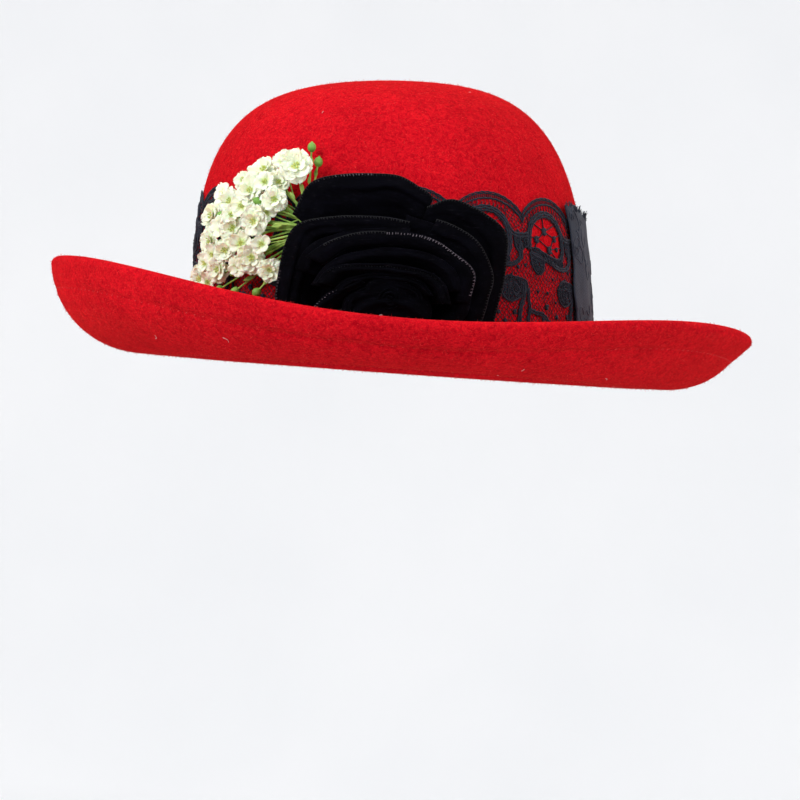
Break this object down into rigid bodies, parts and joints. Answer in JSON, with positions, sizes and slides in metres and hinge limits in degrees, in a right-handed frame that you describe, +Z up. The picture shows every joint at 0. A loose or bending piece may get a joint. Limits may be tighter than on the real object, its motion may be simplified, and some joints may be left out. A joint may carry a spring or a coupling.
{
  "type": "felt hat",
  "caption": "Blocked wool-felt hat with domed crown, upturned wired brim, lace band, velvet ribbon rose and a flower spray.",
  "frame": {"origin": "centre of the head opening, in the plane of the brim's flat underside", "axes": "+Z up through the crown, -Y towards the trimmed front, +X to the right as seen from the front"},
  "size_m": [0.2987, 0.3332, 0.1221],
  "materials": {
    "wool_felt": "matt wool felt with short surface fibres",
    "wire": "bare millinery wire",
    "grosgrain": "ribbed petersham ribbon",
    "lace": "openwork lace of matt yarn",
    "velvet": "cut-pile velvet ribbon",
    "backing": "stiffened buckram",
    "petal_white": "starched cloth petals",
    "stem_green": "flexible coated wire stems and buds"
  },
  "bodies": {
    "root": {"felt_hood": "wool_felt", "brim_wire": "wire", "sweatband": "grosgrain", "sweatband_bow": "grosgrain", "lace_band": "lace", "lace_join": "lace", "rose_backing": "backing", "rose_core": "velvet", "rose_petal_1": "velvet", "rose_petal_2": "velvet", "rose_petal_3": "velvet", "rose_petal_4": "velvet", "rose_petal_5": "velvet", "rose_petal_6": "velvet", "rose_petal_7": "velvet", "rose_petal_8": "velvet", "blossom_01": "petal_white", "blossom_02": "petal_white", "blossom_03": "petal_white", "blossom_04": "petal_white", "blossom_05": "petal_white", "blossom_06": "petal_white", "blossom_07": "petal_white", "blossom_08": "petal_white", "blossom_09": "petal_white", "blossom_10": "petal_white", "blossom_11": "petal_white", "blossom_12": "petal_white", "blossom_13": "petal_white", "blossom_14": "petal_white", "blossom_15": "petal_white", "blossom_16": "petal_white", "bud_1": "stem_green", "bud_2": "stem_green", "bud_3": "stem_green", "bud_4": "stem_green", "bud_5": "stem_green", "bud_6": "stem_green", "bud_7": "stem_green", "bud_8": "stem_green", "sprig_1": "stem_green", "sprig_2": "stem_green", "sprig_3": "stem_green", "sprig_4": "stem_green", "sprig_5": "stem_green", "stem_binding": "stem_green"}
  },
  "joints": []
}
